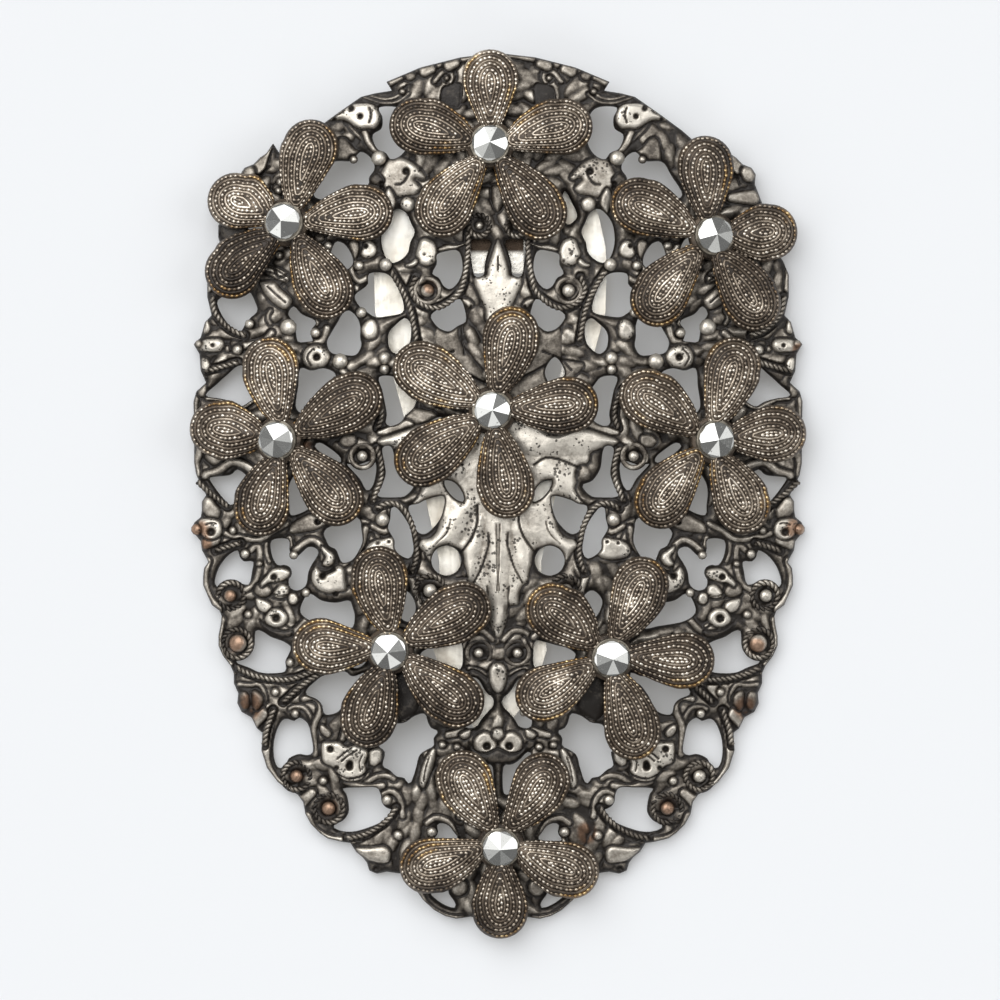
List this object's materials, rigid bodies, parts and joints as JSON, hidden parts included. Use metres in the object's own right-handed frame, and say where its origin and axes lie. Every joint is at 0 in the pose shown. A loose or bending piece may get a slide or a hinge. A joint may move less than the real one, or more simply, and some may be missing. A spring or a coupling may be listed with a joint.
{
  "type": "dress clip",
  "caption": "Domed pierced dress clip with raised scrollwork, riveted five-petal flowers with faceted steel studs, and a hinged spring flap behind.",
  "frame": {"origin": "middle of the clip's bounding box in plan, at the level of the surface it lies on", "axes": "+Z out of the show face, +Y towards the hinge end, -Y towards the tip, +X to the viewer's right"},
  "size_m": [0.0555, 0.0799, 0.0092],
  "materials": {
    "oxidised_plate": "silver plate over cast brass, oxidised nearly black in the hollows, rubbed bright on the scrolls",
    "oxidised_petals": "milled bead rows, oxidised between them, worn to warm brass along the edges",
    "cut_steel": "polished flat facets",
    "dark_metal": "oxidised, matt",
    "steel": "drawn steel wire, dull",
    "spring": "bright rolled spring steel",
    "nickel": "smooth nickel plate with a warm cast"
  },
  "bodies": {
    "clip_body": {"filigree_plate": "oxidised_plate", "flower_1": "oxidised_petals", "flower_2": "oxidised_petals", "flower_3": "oxidised_petals", "flower_4": "oxidised_petals", "flower_5": "oxidised_petals", "flower_6": "oxidised_petals", "flower_7": "oxidised_petals", "flower_8": "oxidised_petals", "flower_9": "oxidised_petals", "stud_1": "cut_steel", "stud_2": "cut_steel", "stud_3": "cut_steel", "stud_4": "cut_steel", "stud_5": "cut_steel", "stud_6": "cut_steel", "stud_7": "cut_steel", "stud_8": "cut_steel", "stud_9": "cut_steel", "clip_bracket": "dark_metal", "hinge_pin": "steel", "spring_leaf": "spring"},
    "flap": {"clip_flap": "nickel"}
  },
  "joints": [
    {"name": "clip_hinge", "type": "hinge", "parent": "clip_body", "child": "flap", "pos_m": [-0.0007, 0.033, 0.0013], "axis": [1, 0, 0], "range_deg": [0, 75], "stiffness_Nm_per_rad": 0.01, "springref_deg": -17.19}
  ]
}
